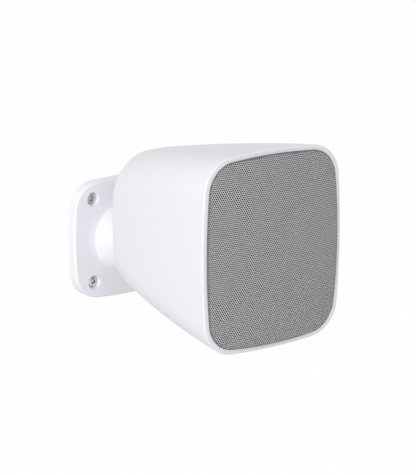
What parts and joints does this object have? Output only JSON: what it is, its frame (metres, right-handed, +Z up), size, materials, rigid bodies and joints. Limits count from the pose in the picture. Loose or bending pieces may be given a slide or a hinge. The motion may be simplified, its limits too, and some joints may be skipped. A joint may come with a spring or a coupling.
{
  "type": "wall speaker",
  "caption": "White tapered wall speaker with a crowned grey perforated grille, turning on a ball joint in front of a square screw-on wall plate.",
  "frame": {"origin": "centre of the wall plate's back face, midway between the wall screws", "axes": "+Z up, +Y into the wall, so the grille looks along -Y; X runs along the wall"},
  "size_m": [0.1148, 0.2007, 0.1371],
  "materials": {
    "white_housing": "fine satin moulding, white",
    "white_bracket": "fine satin moulding, white",
    "grille_paint": "powder coated light grey",
    "black_cloth": "thin black acoustic cloth",
    "black_plastic": "black moulding",
    "foam_seal": "closed cell foam",
    "black_rubber": "soft black rubber",
    "screw_steel": "zinc plated",
    "plated_steel": "zinc plated",
    "basket_paint": "black painted stamping",
    "ferrite": "ground ferrite",
    "paper": "pressed paper pulp",
    "treated_cloth": "resin treated cotton",
    "copper": "enamelled copper wire",
    "former_film": "amber film tube",
    "board": "laminated paper board",
    "brass": "plated brass",
    "nylon": "natural nylon",
    "chrome": "polished and plated",
    "terminal_plastic": "natural polyamide"
  },
  "bodies": {
    "wall_mount": {"wall_plate": "white_bracket", "wall_screws": "screw_steel", "neck": "white_bracket", "neck_screws": "screw_steel", "ball_stud": "chrome"},
    "swivel_cup": {"friction_cup": "nylon"},
    "swivel_ring": {"friction_ring": "nylon"},
    "cabinet": {"cabinet_shell": "white_housing", "grille": "grille_paint", "grille_cloth": "black_cloth", "baffle": "black_plastic", "baffle_seal": "foam_seal", "baffle_screws": "screw_steel", "driver_basket": "basket_paint", "driver_gasket": "foam_seal", "driver_screws": "screw_steel", "top_plate": "plated_steel", "magnet": "ferrite", "pole_yoke": "plated_steel", "coil_former": "former_film", "coil_winding": "copper", "cone": "paper", "surround": "black_rubber", "dust_cap": "paper", "spider": "treated_cloth", "tag_board": "board", "terminal_tags": "brass", "socket_clamp": "black_plastic", "clamp_screws": "screw_steel", "cable_grommet": "black_rubber", "connection_block": "terminal_plastic", "connection_screws": "brass"}
  },
  "joints": [
    {"name": "pan", "type": "hinge", "parent": "wall_mount", "child": "swivel_cup", "pos_m": [0, -0.0612, 0], "axis": [0, 0, 1], "range_deg": [-20, 20]},
    {"name": "tilt", "type": "hinge", "parent": "swivel_cup", "child": "swivel_ring", "pos_m": [0, -0.0612, 0], "axis": [1, 0, 0], "range_deg": [-20, 20]},
    {"name": "roll", "type": "hinge", "parent": "swivel_ring", "child": "cabinet", "pos_m": [0, -0.0612, 0], "axis": [0, 1, 0], "range_deg": [-90, 90]}
  ]
}
